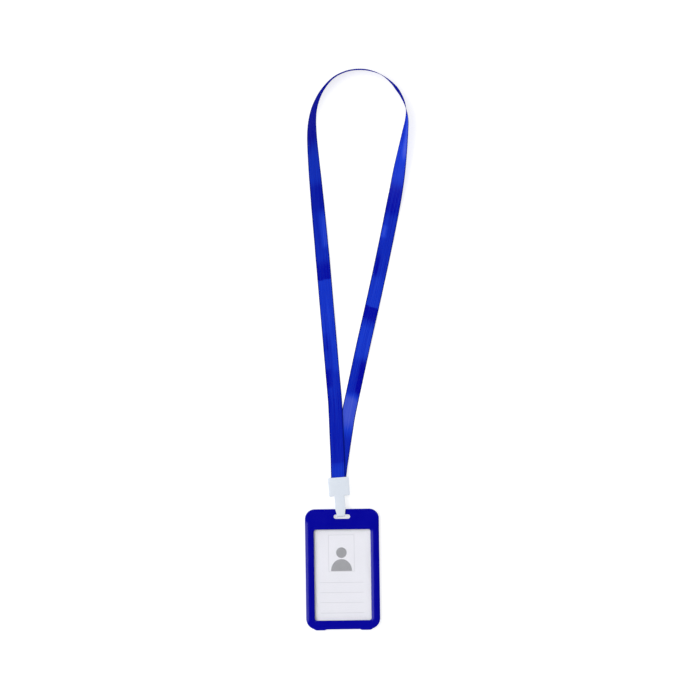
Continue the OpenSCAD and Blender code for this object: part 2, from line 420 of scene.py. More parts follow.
def finish_piece(
    obj: Mesh,
    material: bpy.types.Material,
    body: Body,
    nodes: Sequence[str] = (),
    sharp_deg: float = 35.0,
) -> Mesh:
    """Bring a piece from millimetres to metres, shade it, dress it and tie it to its body.

    Args:
        obj: The piece.
        material: Its material.
        body: The body that it rides on.
        nodes: The CAD nodes that it stands for.
        sharp_deg: Faces that meet at more than this keep a crease.

    Returns:
        The piece.
    """
    obj.data.transform(Matrix.Scale(MM, 4))
    obj.data.shade_smooth()
    obj.data.set_sharp_from_angle(angle=np.radians(sharp_deg))
    obj.data.materials.clear()
    obj.data.materials.append(material)
    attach(obj, body.value)
    if nodes:
        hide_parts(*nodes)
    LOG.info("%s on %s: %d faces", obj.name, body.value, len(obj.data.polygons))
    return obj


# Finishes -------------------------------------------------------------------------------------


def add_node(
    material: bpy.types.Material, kind: str, settings: dict[Any, Any], links: dict[Any, Any]
) -> bpy.types.ShaderNode:
    """Add a shader node.

    Args:
        material: The material, or the world, that it goes into.
        kind: The node's type, such as "ShaderNodeBump".
        settings: Values by name, of the node's own properties or else of its input sockets. A
            number stands for the input socket in that place.
        links: The output socket that feeds an input socket, by its name or place.

    Returns:
        The node.
    """
    node = material.node_tree.nodes.new(kind)
    for name, value in settings.items():
        if isinstance(name, str) and hasattr(node, name):
            setattr(node, name, value)
        else:
            node.inputs[name].default_value = value
    for name, source in links.items():
        material.node_tree.links.new(source, node.inputs[name])
    return node


def new_material(name: str) -> bpy.types.Material:
    """Make a node material with no nodes in it.

    Args:
        name: Its name.

    Returns:
        The material.
    """
    material = bpy.data.materials.new(name)
    material.use_nodes = True
    material.node_tree.nodes.clear()
    return material


def show(material: bpy.types.Material, shader: Any) -> bpy.types.Material:
    """Let a material show a shader's output."""
    add_node(material, "ShaderNodeOutputMaterial", {}, {"Surface": shader})
    return material


@dataclass(frozen=True)
class Pattern:
    """How coarse a cloudy pattern is: its features' size, the detail in them and their warp."""

    size_mm: float
    detail: float
    warp: float = 0.0


@dataclass(frozen=True)
class OpaqueFinish:
    """A finish that drifts between two tones, under a fine relief.

    The cloud pattern mixes the tones, the grain pattern lifts the surface by up to its depth, and
    the roughness drifts by its spread to either side.
    """

    name: str
    colour: str
    deep: str
    roughness: float
    rough_spread: float
    rough_by: Drift
    cloud: Pattern
    grain: Pattern
    grain_depth_mm: float
    grain_strength: float
    ior: float

    def gloss(self) -> dict[str, Any]:
        """The shader's own numbers."""
        return {"IOR": self.ior}

    def build(self) -> bpy.types.Material:
        """Make the material.

        Returns:
            The material.
        """
        mat = new_material(self.name)
        place = add_node(mat, "ShaderNodeTexCoord", {}, {}).outputs["Object"]
        cloud, grain = (
            add_node(
                mat,
                "ShaderNodeTexNoise",
                {
                    "Scale": 1 / (pattern.size_mm * MM),
                    "Detail": pattern.detail,
                    "Distortion": pattern.warp,
                },
                {"Vector": place},
            ).outputs[0]
            for pattern in (self.cloud, self.grain)
        )
        tint = add_node(
            mat,
            "ShaderNodeMix",
            {"data_type": "RGBA", 6: srgb(self.deep), 7: srgb(self.colour)},
            {0: cloud},
        )
        rough = add_node(
            mat,
            "ShaderNodeMapRange",
            {
                "To Min": self.roughness - self.rough_spread,
                "To Max": self.roughness + self.rough_spread,
            },
            {"Value": grain if self.rough_by is Drift.GRAIN else cloud},
        )
        bump = add_node(
            mat,
            "ShaderNodeBump",
            {"Strength": self.grain_strength, "Distance": self.grain_depth_mm * MM},
            {"Height": grain},
        )
        shader = add_node(
            mat,
            "ShaderNodeBsdfPrincipled",
            self.gloss(),
            {
                "Base Color": tint.outputs[2],
                "Roughness": rough.outputs[0],
                "Normal": bump.outputs[0],
            },
        )
        return show(mat, shader.outputs[0])


@dataclass(frozen=True)
class MouldedPlastic(OpaqueFinish):
    """Injection-moulded ABS in a deep blue, from a spark-finished mould.

    It gives the eye an even, full colour with a soft gloss, that a fine grain breaks up a little.
    The real grain is about 0.05 mm, too fine to show, so it is drawn ten times as coarse.
    """

    name: str = "moulded_abs_blue"
    colour: str = "000098"
    deep: str = "00008e"
    roughness: float = 0.17
    rough_spread: float = 0.04
    rough_by: Drift = Drift.CLOUD
    cloud: Pattern = Pattern(18.0, 3.0)
    grain: Pattern = Pattern(0.5, 2.0)
    grain_depth_mm: float = 0.01
    grain_strength: float = 0.4
    ior: float = 1.52
    specular: float = 0.24

    def gloss(self) -> dict[str, Any]:
        """The shader's own numbers."""
        return {"IOR": self.ior, "Specular IOR Level": self.specular}


@dataclass(frozen=True)
class MilkyPlastic(OpaqueFinish):
    """Natural polypropylene, moulded with no pigment.

    It gives the eye a milky white with a cool cast, light that spreads a millimetre inside it,
    faint flow marks and a waxy gloss. The skin that the mould leaves is too fine to show, so its
    grain is drawn coarser.
    """

    name: str = "milky_polypropylene"
    colour: str = "d9dfe8"
    deep: str = "d1d8e2"
    roughness: float = 0.34
    rough_spread: float = 0.06
    rough_by: Drift = Drift.CLOUD
    cloud: Pattern = Pattern(5.0, 3.0, 0.8)
    grain: Pattern = Pattern(0.6, 2.0)
    grain_depth_mm: float = 0.01
    grain_strength: float = 0.3
    ior: float = 1.49
    spread_mm: float = 1.0
    spread_share: float = 0.3

    def gloss(self) -> dict[str, Any]:
        """The shader's own numbers. Light of every colour spreads equally far.

        Returns:
            Values by the names of the shader's sockets.
        """
        return {
            "IOR": self.ior,
            "Subsurface Weight": self.spread_share,
            "Subsurface Radius": (1.0, 1.0, 1.0),
            "Subsurface Scale": self.spread_mm * MM,
        }


@dataclass(frozen=True)
class PrintedCard(OpaqueFinish):
    """Coated card, 0.8 mm thick, or the ink printed on it.

    It gives the eye a soft white with a very fine tooth and a dull sheen. Ink is a little darker
    in places, where the coating took more of it. Fibres are a fiftieth of a millimetre thick, too
    fine to show, so the tooth is drawn as coarse as their clumps.
    """

    roughness: float = 0.5
    rough_spread: float = 0.05
    rough_by: Drift = Drift.GRAIN
    cloud: Pattern = Pattern(9.0, 2.0)
    grain: Pattern = Pattern(0.4, 4.0)
    grain_depth_mm: float = 0.01
    grain_strength: float = 0.3
    ior: float = 1.45


@dataclass(frozen=True)
class SatinRibbon:
    """Polyester satin ribbon, woven with long floats along its run.

    It gives the eye a silky sheen, faint ribs along the run with finer picks across it, streaks
    where bundles of threads lie a little differently, and two denser, darker selvedges. The real
    threads are about 0.1 mm, too fine to show, so ribs and picks are drawn coarser than that.

    Its colour climbs from deep through colour to a painted highlight, by the streaks and by an
    attribute
    of painted sheen and shade: the colour is painted lighter where the cloth would catch the light
    and darker where it would lie in shade. Its UV map holds millimetres along the run and across it.
    """

    name: str = "satin_ribbon_blue"
    # The deepest step serves both the darker streaks and the painted shade.
    deep: str = "00029a"
    # The lightest step is a painted highlight, where the cloth is painted as catching the light.
    colour: str = "1336c3"
    painted_highlight: str = "4859c8"
    selvedge: str = "010a6e"
    gloss: str = "b4c8ff"
    uv_map: str = "run_mm"
    # This attribute holds painted sheen and painted shade, worked out point by point by the ribbon.
    attribute: str = "sheen"
    width_mm: float = 13.0
    selvedge_mm: tuple[float, float] = (1.0, 0.4)
    streak_mm: tuple[float, float] = (60.0, 0.8)
    streak_detail: float = 4.0
    streak_share: float = 1.6
    rib_mm: float = 1.3
    pick_mm: float = 0.5
    pick_share: float = 0.06
    weave_mm: float = 0.05
    weave_strength: float = 0.5
    matt_roughness: float = 0.9
    roughness: float = 0.4
    rough_spread: float = 0.08
    gloss_share: float = 0.03
    anisotropy: float = 0.85
    float_turn: float = 0.25

    def wave(self, mat: bpy.types.Material, place: Any, pitch_mm: float) -> Any:
        """Add a sine along one coordinate, from -1 to 1.

        Args:
            mat: The material.
            place: The coordinate's output, in millimetres.
            pitch_mm: The sine's pitch.

        Returns:
            The sine's output.
        """
        turn = add_node(
            mat, "ShaderNodeMath", {"operation": "MULTIPLY", 1: 2 * np.pi / pitch_mm}, {0: place}
        )
        return add_node(mat, "ShaderNodeMath", {"operation": "SINE"}, {0: turn.outputs[0]}).outputs[0]

    def tint(self, mat: bpy.types.Material, streaks: Any, across: Any) -> Any:
        """Add the cloth's colour: three tones in a row, the last a painted highlight, picked by the
        streaks and the painted sheen and shade, and the selvedges over them.

        Args:
            mat: The material.
            streaks: The streaks' output.
            across: The output of the place across the run, in millimetres.

        Returns:
            The colour's output.
        """
        # The attribute of painted sheen and shade lifts or lowers the tone.
        sheen = add_node(mat, "ShaderNodeAttribute", {"attribute_name": self.attribute}, {})
        tone = add_node(
            mat,
            "ShaderNodeMath",
            {"operation": "MULTIPLY_ADD", 1: self.streak_share},
            {0: streaks, 2: sheen.outputs["Fac"]},
        ).outputs[0]
        # Past 1, the tone moves on to the painted highlight colour.
        over = add_node(mat, "ShaderNodeMath", {"operation": "SUBTRACT", 1: 1.0}, {0: tone})
        edge = add_node(mat, "ShaderNodeMath", {"operation": "ABSOLUTE"}, {0: across})
        half = self.width_mm / 2
        border_share = add_node(
            mat,
            "ShaderNodeMapRange",
            {"From Min": half - self.selvedge_mm[0], "From Max": half - self.selvedge_mm[1]},
            {"Value": edge.outputs[0]},
        )
        blend = add_node(
            mat,
            "ShaderNodeMix",
            {"data_type": "RGBA", 6: srgb(self.deep), 7: srgb(self.colour)},
            {0: tone},
        )
        for share, colour in ((over, self.painted_highlight), (border_share, self.selvedge)):
            blend = add_node(
                mat,
                "ShaderNodeMix",
                {"data_type": "RGBA", 7: srgb(colour)},
                {0: share.outputs[0], 6: blend.outputs[2]},
            )
        return blend.outputs[2]

    def build(self) -> bpy.types.Material:
        """Make the material: a matt cloth, and a thin share of gloss along its floats.

        Returns:
            The material.
        """
        mat = new_material(self.name)
        cloth = add_node(mat, "ShaderNodeUVMap", {"uv_map": self.uv_map}, {}).outputs[0]
        along, across, _ = add_node(mat, "ShaderNodeSeparateXYZ", {}, {0: cloth}).outputs
        stretched = add_node(
            mat,
            "ShaderNodeMapping",
            {"Scale": (1 / self.streak_mm[0], 1 / self.streak_mm[1], 1.0)},
            {"Vector": cloth},
        )
        streaks = add_node(
            mat,
            "ShaderNodeTexNoise",
            {"Scale": 1.0, "Detail": self.streak_detail},
            {"Vector": stretched.outputs[0]},
        ).outputs[0]
        weave = add_node(
            mat,
            "ShaderNodeMath",
            {"operation": "MULTIPLY_ADD", 1: self.pick_share},
            {0: self.wave(mat, along, self.pick_mm), 2: self.wave(mat, across, self.rib_mm)},
        )
        bump = add_node(
            mat,
            "ShaderNodeBump",
            {"Strength": self.weave_strength, "Distance": self.weave_mm * MM},
            {"Height": weave.outputs[0]},
        )
        rough = add_node(
            mat,
            "ShaderNodeMapRange",
            {
                "To Min": self.roughness - self.rough_spread,
                "To Max": self.roughness + self.rough_spread,
            },
            {"Value": streaks},
        )
        thread = add_node(
            mat, "ShaderNodeTangent", {"direction_type": "UV_MAP", "uv_map": self.uv_map}, {}
        )
        matt = add_node(
            mat,
            "ShaderNodeBsdfPrincipled",
            {"Specular IOR Level": 0.0, "Roughness": self.matt_roughness},
            {"Base Color": self.tint(mat, streaks, across), "Normal": bump.outputs[0]},
        )
        floats = add_node(
            mat,
            "ShaderNodeBsdfAnisotropic",
            {
                "Color": srgb(self.gloss),
                "Anisotropy": self.anisotropy,
                "Rotation": self.float_turn,
            },
            {
                "Roughness": rough.outputs[0],
                "Normal": bump.outputs[0],
                "Tangent": thread.outputs[0],
            },
        )
        shader = add_node(
            mat,
            "ShaderNodeMixShader",
            {0: self.gloss_share},
            {1: matt.outputs[0], 2: floats.outputs[0]},
        )
        return show(mat, shader.outputs[0])


@dataclass(frozen=True)
class ClearSheet:
    """Clear PVC sheet, calendered: it shines, and shows what lies behind it with hardly a tint.

    The rolls leave a long, shallow ripple. Lamps' rays pass straight through it, so that the card
    behind is as bright as it is.
    """

    name: str = "clear_pvc_sheet"
    colour: str = "f8faff"
    roughness: float = 0.06
    ior: float = 1.53
    ripple: Pattern = Pattern(25.0, 1.0)
    ripple_depth_mm: float = 0.1
    ripple_strength: float = 0.15

    def build(self) -> bpy.types.Material:
        """Make the material.

        Returns:
            The material.
        """
        mat = new_material(self.name)
        place = add_node(mat, "ShaderNodeTexCoord", {}, {}).outputs["Object"]
        ripple = add_node(
            mat,
            "ShaderNodeTexNoise",
            {"Scale": 1 / (self.ripple.size_mm * MM), "Detail": self.ripple.detail},
            {"Vector": place},
        )
        bump = add_node(
            mat,
            "ShaderNodeBump",
            {"Strength": self.ripple_strength, "Distance": self.ripple_depth_mm * MM},
            {"Height": ripple.outputs[0]},
        )
        glass = add_node(
            mat,
            "ShaderNodeBsdfPrincipled",
            {
                "Base Color": srgb(self.colour),
                "Roughness": self.roughness,
                "IOR": self.ior,
                "Transmission Weight": 1.0,
            },
            {"Normal": bump.outputs[0]},
        )
        clear = add_node(mat, "ShaderNodeBsdfTransparent", {"Color": srgb(self.colour)}, {})
        ray = add_node(mat, "ShaderNodeLightPath", {}, {})
        both = add_node(
            mat,
            "ShaderNodeMixShader",
            {},
            {0: ray.outputs["Is Shadow Ray"], 1: glass.outputs[0], 2: clear.outputs[0]},
        )
        return show(mat, both.outputs[0])


# The neck ribbon ------------------------------------------------------------------------------

# Where the ribbon runs, from the upper ply in the clamp, up the left strand, round the neck loop
# and down the right strand to the lower ply: x, y and the height of its lowest side in metres,
# and how far it is banked on its edge in degrees.
ROUTE = np.array(
    [
        (-0.0024, 0.0710, 0.0041, 0),
        (-0.0027, 0.0780, 0.0041, 0),
        (-0.0029, 0.0840, 0.0041, 0),
        (-0.0030, 0.0890, 0.00395, 0),
        (-0.0031, 0.0950, 0.0033, 0),
        (-0.0032, 0.1040, 0.0021, 0),
        (-0.0036, 0.1150, 0.00115, 0),
        (-0.0040, 0.1280, 0.0007, 0),
        (-0.0044, 0.1420, 0.0006, 0),
        (-0.0050, 0.1560, 0.0004, 0),
        (-0.0070, 0.1830, 0.0, 0),
        (-0.0090, 0.2110, 0.0, 0),
        (-0.0110, 0.2380, 0.0, 0),
        (-0.0130, 0.2660, 0.0, 2),
        (-0.0150, 0.2930, 0.0, 9),
        (-0.0172, 0.3210, 0.0, 17),
        (-0.0194, 0.3490, 0.0, 26),
        (-0.0213, 0.3740, 0.0, 37),
        (-0.0226, 0.3970, 0.0, 46),
        (-0.0220, 0.4130, 0.0, 59),
        (-0.0192, 0.4260, 0.0, 71),
        (-0.0130, 0.4390, 0.0, 81),
        (-0.0030, 0.4504, 0.0, 88),
        (0.0085, 0.4563, 0.0, 90),
        (0.0200, 0.4582, 0.0, 90),
        (0.0310, 0.4571, 0.0, 91),
        (0.0420, 0.4528, 0.0, 95),
        (0.0520, 0.4446, 0.0, 101),
        (0.0594, 0.4340, 0.0, 102),
        (0.0636, 0.4230, 0.0, 93),
        (0.0644, 0.4120, 0.0, 78),
        (0.0628, 0.4000, 0.0, 65),
        (0.0604, 0.3850, 0.0, 51),
        (0.0575, 0.3680, 0.0, 34),
        (0.0542, 0.3490, 0.0, 18),
        (0.0506, 0.3310, 0.0, 6),
        (0.0453, 0.3060, 0.0, 0),
        (0.0384, 0.2750, 0.0, 0),
        (0.0302, 0.2400, 0.0, 0),
        (0.0220, 0.2060, 0.0, 0),
        (0.0142, 0.1720, 0.0, 0),
        (0.0076, 0.1430, 0.0, 0),
        (0.0049, 0.1280, 0.0001, 0),
        (0.0027, 0.1150, 0.0005, 0),
        (0.0009, 0.1040, 0.00145, 0),
        (-0.0006, 0.0950, 0.0027, 0),
        (-0.0014, 0.0890, 0.00335, 0),
        (-0.0020, 0.0840, 0.0035, 0),
        (-0.0023, 0.0780, 0.0035, 0),
        (-0.0021, 0.0710, 0.0035, 0),
    ]
)


def run_length(line: Array) -> Array:
    """How far along a line each of its points is, as seen from above."""
    return np.concatenate([[0], np.cumsum(np.linalg.norm(np.diff(line[:, :2], axis=0), axis=1))])


def strand_rows(y: Array, strand: Strand) -> slice:
    """The rows of a line from clamp to clamp that are one strand's, before its top or after it."""
    top = int(np.argmax(y))
    return slice(0, top) if strand is Strand.LEFT else slice(top, None)


@dataclass(frozen=True)
class Wave:
    """A slow wave along the run: how high it swings, its length for each radian, and its lead."""

    height: float
    length: float
    lead: float = 0.0

    def swing(self, far: Array) -> Array:
        """Its value at distances along the run, from -1 to 1."""
        return np.sin(far / self.length + self.lead)


@dataclass(frozen=True)
class Fold:
    """A soft fold across a strand, where it passes y. It dies away over reach."""

    strand: Strand
    y: float
    height: float
    reach: float


@dataclass(frozen=True)
class Curl:
    """A place where one edge of a strand curls up off the table.

    It climbs across the ribbon from start to end, and comes and goes within reach of y.
    """

    strand: Strand
    y: float
    start: float
    end: float
    reach: float
    height: float


@dataclass(frozen=True)
class PaintedSheen:
    """A stretch of a strand that is painted lighter, as sheen, or darker, as shade, than elsewhere.

    low and high are its ends in y, and the fades are how far it dies away past them. Along one
    edge only, it fades in across the ribbon between the two shares of its half width in span.
    """

    strand: Strand
    low: float
    high: float
    fade_low: float
    fade_high: float
    amount: float
    edge: Edge = Edge.WHOLE
    span: tuple[float, float] = (-0.25, 0.6)

    def share(self, y: Array, across: Array) -> Array:
        """How much painted sheen or shade it adds at points of its strand.

        Args:
            y: How far up the strand they are.
            across: How far across it they are, from -1 at its inner edge to 1 at its outer one.

        Returns:
            What it adds.
        """
        along = rise(self.low - self.fade_low, self.low, y)
        along = along * (1 - rise(self.high, self.high + self.fade_high, y))
        beside = 1.0 if self.edge is Edge.WHOLE else rise(*self.span, self.edge.value * across)
        return self.amount * along * beside


@dataclass
class NeckRibbon:
    """The satin ribbon, one piece from ply to ply.

    Its lay is flat for flat_end from each ply's end, and over the next flat_fade it grows uneven:
    it sways about its run, swells off the table, and has a valley fold, a ridge fold and curls.
    On the right strand it turns a little further between the two places in shoulder_y, by a
    quarter of shoulder_turn at most.
    """

    width: float = 13.0
    thickness: float = 0.4
    selvedge: float = 0.24
    thinning: float = 2.0
    step: float = 1.0
    across: int = 21
    selvedge_steps: int = 5
    flat_end: float = 92.0
    flat_fade: float = 40.0
    sways: tuple[Wave, ...] = (Wave(1.3, 17.0), Wave(0.9, 7.3, 1.0), Wave(0.5, 3.9))
    swells: tuple[Wave, ...] = (Wave(0.3, 10.5), Wave(0.1, 4.3, 2.0))
    valley: Fold = Fold(Strand.LEFT, 266.0, 1.3, 9.0)
    ridge: Fold = Fold(Strand.RIGHT, 240.0, 0.95, 7.0)
    shoulder_y: tuple[float, float] = (434.0, 446.0)
    shoulder_turn: float = 9.0
    curls: tuple[Curl, ...] = (
        Curl(Strand.LEFT, 311.0, 1.0, -7.5, 15.0, 1.5),
        Curl(Strand.RIGHT, 307.0, -7.5, -1.0, 8.0, 1.2),
        Curl(Strand.RIGHT, 153.0, -7.5, 7.5, 11.0, 1.8),
        Curl(Strand.LEFT, 222.0, 7.5, -7.5, 24.0, 0.8),
        Curl(Strand.RIGHT, 206.0, -7.5, 7.5, 30.0, 0.7),
    )
    # Painted sheen and shade: an even level that also centres the streaks, a skew, and stretches of
    # each strand painted lighter or darker.
    even_tone: float = -0.3
    tone_skew: float = 0.12
    tones: tuple[PaintedSheen, ...] = (
        PaintedSheen(Strand.LEFT, 402, 470, 26, 5, -0.9),
        PaintedSheen(Strand.LEFT, 360, 392, 12, 12, 0.25),
        PaintedSheen(Strand.LEFT, 333, 350, 8, 8, -0.2),
        PaintedSheen(Strand.LEFT, 298, 320, 5, 12, 0.6, Edge.INNER),
        PaintedSheen(Strand.LEFT, 266, 276, 0.4, 12, -0.45),
        PaintedSheen(Strand.LEFT, 222, 265.6, 22, 0.4, 0.3),
        PaintedSheen(Strand.LEFT, 184, 206, 6, 10, 0.35, Edge.INNER),
        PaintedSheen(Strand.LEFT, 204, 214, 4, 6, -0.25, Edge.OUTER),
        PaintedSheen(Strand.LEFT, 170, 182, 5, 4, -0.45, Edge.OUTER),
        PaintedSheen(Strand.LEFT, 98, 150, 6, 20, -0.2),
        PaintedSheen(Strand.LEFT, 80, 97, 5, 1, 0.25),
        PaintedSheen(Strand.RIGHT, 420, 470, 6, 5, -0.9),
        PaintedSheen(Strand.RIGHT, 384, 412, 14, 6, 0.9, Edge.OUTER),
        PaintedSheen(Strand.RIGHT, 360, 384, 10, 14, 0.3),
        PaintedSheen(Strand.RIGHT, 330, 346, 10, 8, -0.4),
        PaintedSheen(Strand.RIGHT, 304, 312, 2, 4, 0.55, Edge.INNER),
        PaintedSheen(Strand.RIGHT, 270, 282, 5, 8, -0.3, Edge.INNER),
        PaintedSheen(Strand.RIGHT, 240.4, 262, 0.4, 12, 0.35),
        PaintedSheen(Strand.RIGHT, 231, 240, 6, 0.4, -0.5),
        PaintedSheen(Strand.RIGHT, 196, 220, 8, 6, 0.35),
        PaintedSheen(Strand.RIGHT, 166, 186, 6, 14, -0.7, Edge.OUTER),
        PaintedSheen(Strand.RIGHT, 140, 154, 24, 9, 1.15),
        PaintedSheen(Strand.RIGHT, 60, 120, 1, 20, -0.1),
    )
    finish: SatinRibbon = SatinRibbon()

    def smooth_route(self) -> Array:
        """A smooth line through the route, sampled every step.

        Between two points it is the cubic that passes through both with the slope of the chord
        between each one's neighbours.

        Returns:
            Rows of x, y and height in millimetres, and bank in degrees.
        """
        p = ROUTE * np.array([1 / MM, 1 / MM, 1 / MM, 1])
        a, b, c, d = (p[np.clip(np.arange(len(p) - 1) + k, 0, len(p) - 1)] for k in (-1, 0, 1, 2))
        t = np.linspace(0, 1, 40, endpoint=False)[:, None, None]
        curve = (
            b
            + t * (c - a) / 2
            + t**2 * (a - 2.5 * b + 2 * c - d / 2)
            + t**3 * (1.5 * (b - c) + (d - a) / 2)
        )
        fine = np.concatenate([curve.transpose(1, 0, 2).reshape(-1, 4), p[-1:]])
        far = run_length(fine)
        even = np.linspace(0, far[-1], int(far[-1] / self.step) + 1)
        route = np.stack([np.interp(even, far, fine[:, k]) for k in range(4)], axis=-1)
        route[:, 2] = np.maximum(route[:, 2], 0.0)
        return route

    def section(self) -> Array:
        """The cross section, anticlockwise.

        Its faces thin out towards its edges, down to half-round selvedges.

        Returns:
            Its points, as places across the ribbon and through it.
        """
        half, r = self.width / 2, self.selvedge / 2
        flat = np.linspace(-half + r, half - r, self.across)
        full = rise(0.0, self.thinning, half - r - np.abs(flat))
        lower = np.stack([flat, -r - full * (self.thickness / 2 - r)], axis=-1)
        right = arc((half - r, 0), r, -90, 90, self.selvedge_steps)[1:-1]
        left = arc((-half + r, 0), r, 90, 270, self.selvedge_steps)[1:-1]
        return np.concatenate([lower, right, -lower, left])

    def away(self, route: Array, far: Array, feature: Fold | Curl) -> Array:
        """How far along the run each row is from a fold or a curl.

        Args:
            route: The route's rows.
            far: Their distance along the run.
            feature: The fold or curl.

        Returns:
            The distances, less than 0 before it.
        """
        rows = strand_rows(route[:, 1], feature.strand)
        return far - far[rows][np.argmin(np.abs(route[rows, 1] - feature.y))]

    def lift(self, route: Array, far: Array) -> Array:
        """How high the ribbon stands off the table where it isn't quite flat.

        Slow waves, with a valley fold across the left strand, that rises from the fold and dies
        away, and a ridge fold across the right strand, that is highest at the fold.

        Args:
            route: The route's rows.
            far: Their distance along the run.

        Returns:
            The heights.
        """
        swell = sum(wave.height * (1 + wave.swing(far)) for wave in self.swells)
        valley = np.abs(self.away(route, far, self.valley)) / self.valley.reach
        ridge = np.abs(self.away(route, far, self.ridge)) / self.ridge.reach
        return (
            swell
            + self.valley.height * valley * np.exp(-valley)
            + self.ridge.height * np.exp(-ridge)
        )

    def curl(self, route: Array, far: Array, across: Array) -> Array:
        """How far the edges curl up: ramps across the ribbon that come and go along it.

        Args:
            route: The route's rows.
            far: Their distance along the run.
            across: The section's places across the ribbon.

        Returns:
            Rows of heights, one for each place across.
        """
        total = np.zeros((len(far), len(across)))
        for curl in self.curls:
            near = np.exp(-((self.away(route, far, curl) / curl.reach) ** 2))
            ramp = rise(0, 1, (across - curl.start) / (curl.end - curl.start))
            total += curl.height * near[:, None] * ramp[None]
        return total

    def sheen(self, centres: Array, across: Array) -> Array:
        """How much lighter or darker the satin is painted, as painted sheen and shade, about -1 to 1.
        Each stretch's ends lie a little askew.

        Args:
            centres: The centre of each ring.
            across: Every point's place across the ribbon, ring by ring.

        Returns:
            The brightness at every point.
        """
        total = np.full(across.shape, self.even_tone)
        for tone in self.tones:
            rows = strand_rows(centres[:, 1], tone.strand)
            skew = centres[rows, 1, None] + self.tone_skew * across[rows]
            total[rows] += tone.share(skew, 2 * across[rows] / self.width)
        return total

    def rings(self) -> tuple[Array, Array, Array, Array]:
        """Sweep the section along the route.

        Each ring stands across the run, turned by the bank, with its lowest side at the route's
        height. Away from the clamp the lay is not quite even.

        Returns:
            The rings, their centres, and the distance along and across the run of every point.
        """
        route = self.smooth_route()
        run = np.gradient(route[:, :2], axis=0)
        run /= np.linalg.norm(run, axis=1, keepdims=True)
        out = np.stack([-run[:, 1], run[:, 0]], axis=-1)
        far = run_length(route)
        loose = hump(self.flat_end, far[-1] - self.flat_end, self.flat_fade, far)
        free = loose * np.cos(np.radians(route[:, 3])) ** 2
        sway = sum(wave.height * wave.swing(far) for wave in self.sways)
        right = np.arange(len(far)) > np.argmax(route[:, 1])
        low, high = self.shoulder_y
        over = self.shoulder_turn * right * hump(low, high, high - low, route[:, 1])
        bank = np.radians(route[:, 3] + free * sway + over)
        route[:, 2] += free * self.lift(route, far)
        section = self.section()
        across = section[:, 0] * np.cos(bank)[:, None] - section[:, 1] * np.sin(bank)[:, None]
        up = section[:, 0] * np.sin(bank)[:, None] + section[:, 1] * np.cos(bank)[:, None]
        centre_z = (
            route[:, 2]
            + self.width / 2 * np.abs(np.sin(bank))
            + self.thickness / 2 * np.abs(np.cos(bank))
        )
        flat = route[:, None, :2] + out[:, None] * across[..., None]
        up = up + free[:, None] * self.curl(route, far, section[:, 0])
        rings = np.concatenate([flat, (centre_z[:, None] + up)[..., None]], axis=-1)
        centres = np.column_stack([route[:, :2], centre_z])
        along = np.broadcast_to(far[:, None], up.shape)
        return rings, centres, along, np.broadcast_to(section[:, 0], up.shape)

    def build(self) -> Mesh:
        """Returns:
            The ribbon.
        """
        rings, centres, along, across = self.rings()
        obj = make_rings("satin_ribbon", rings)
        place = np.stack([along.ravel(), across.ravel()], axis=-1)
        corners = np.zeros(len(obj.data.loops), np.int32)
        obj.data.loops.foreach_get("vertex_index", corners)
        cloth = obj.data.uv_layers.new(name=self.finish.uv_map)
        cloth.uv.foreach_set("vector", place[corners].astype(np.float32).ravel())
        # The ribbon hands its painted sheen and shade to the material as a point attribute.
        sheen = obj.data.attributes.new(self.finish.attribute, "FLOAT", "POINT")
        sheen.data.foreach_set("value", self.sheen(centres, across).astype(np.float32).ravel())
        finish_piece(
            obj, self.finish.build(), Body.LANYARD, ["neck_ribbon"], sharp_deg=60
        )
        return obj


# The hook clip --------------------------------------------------------------------------------


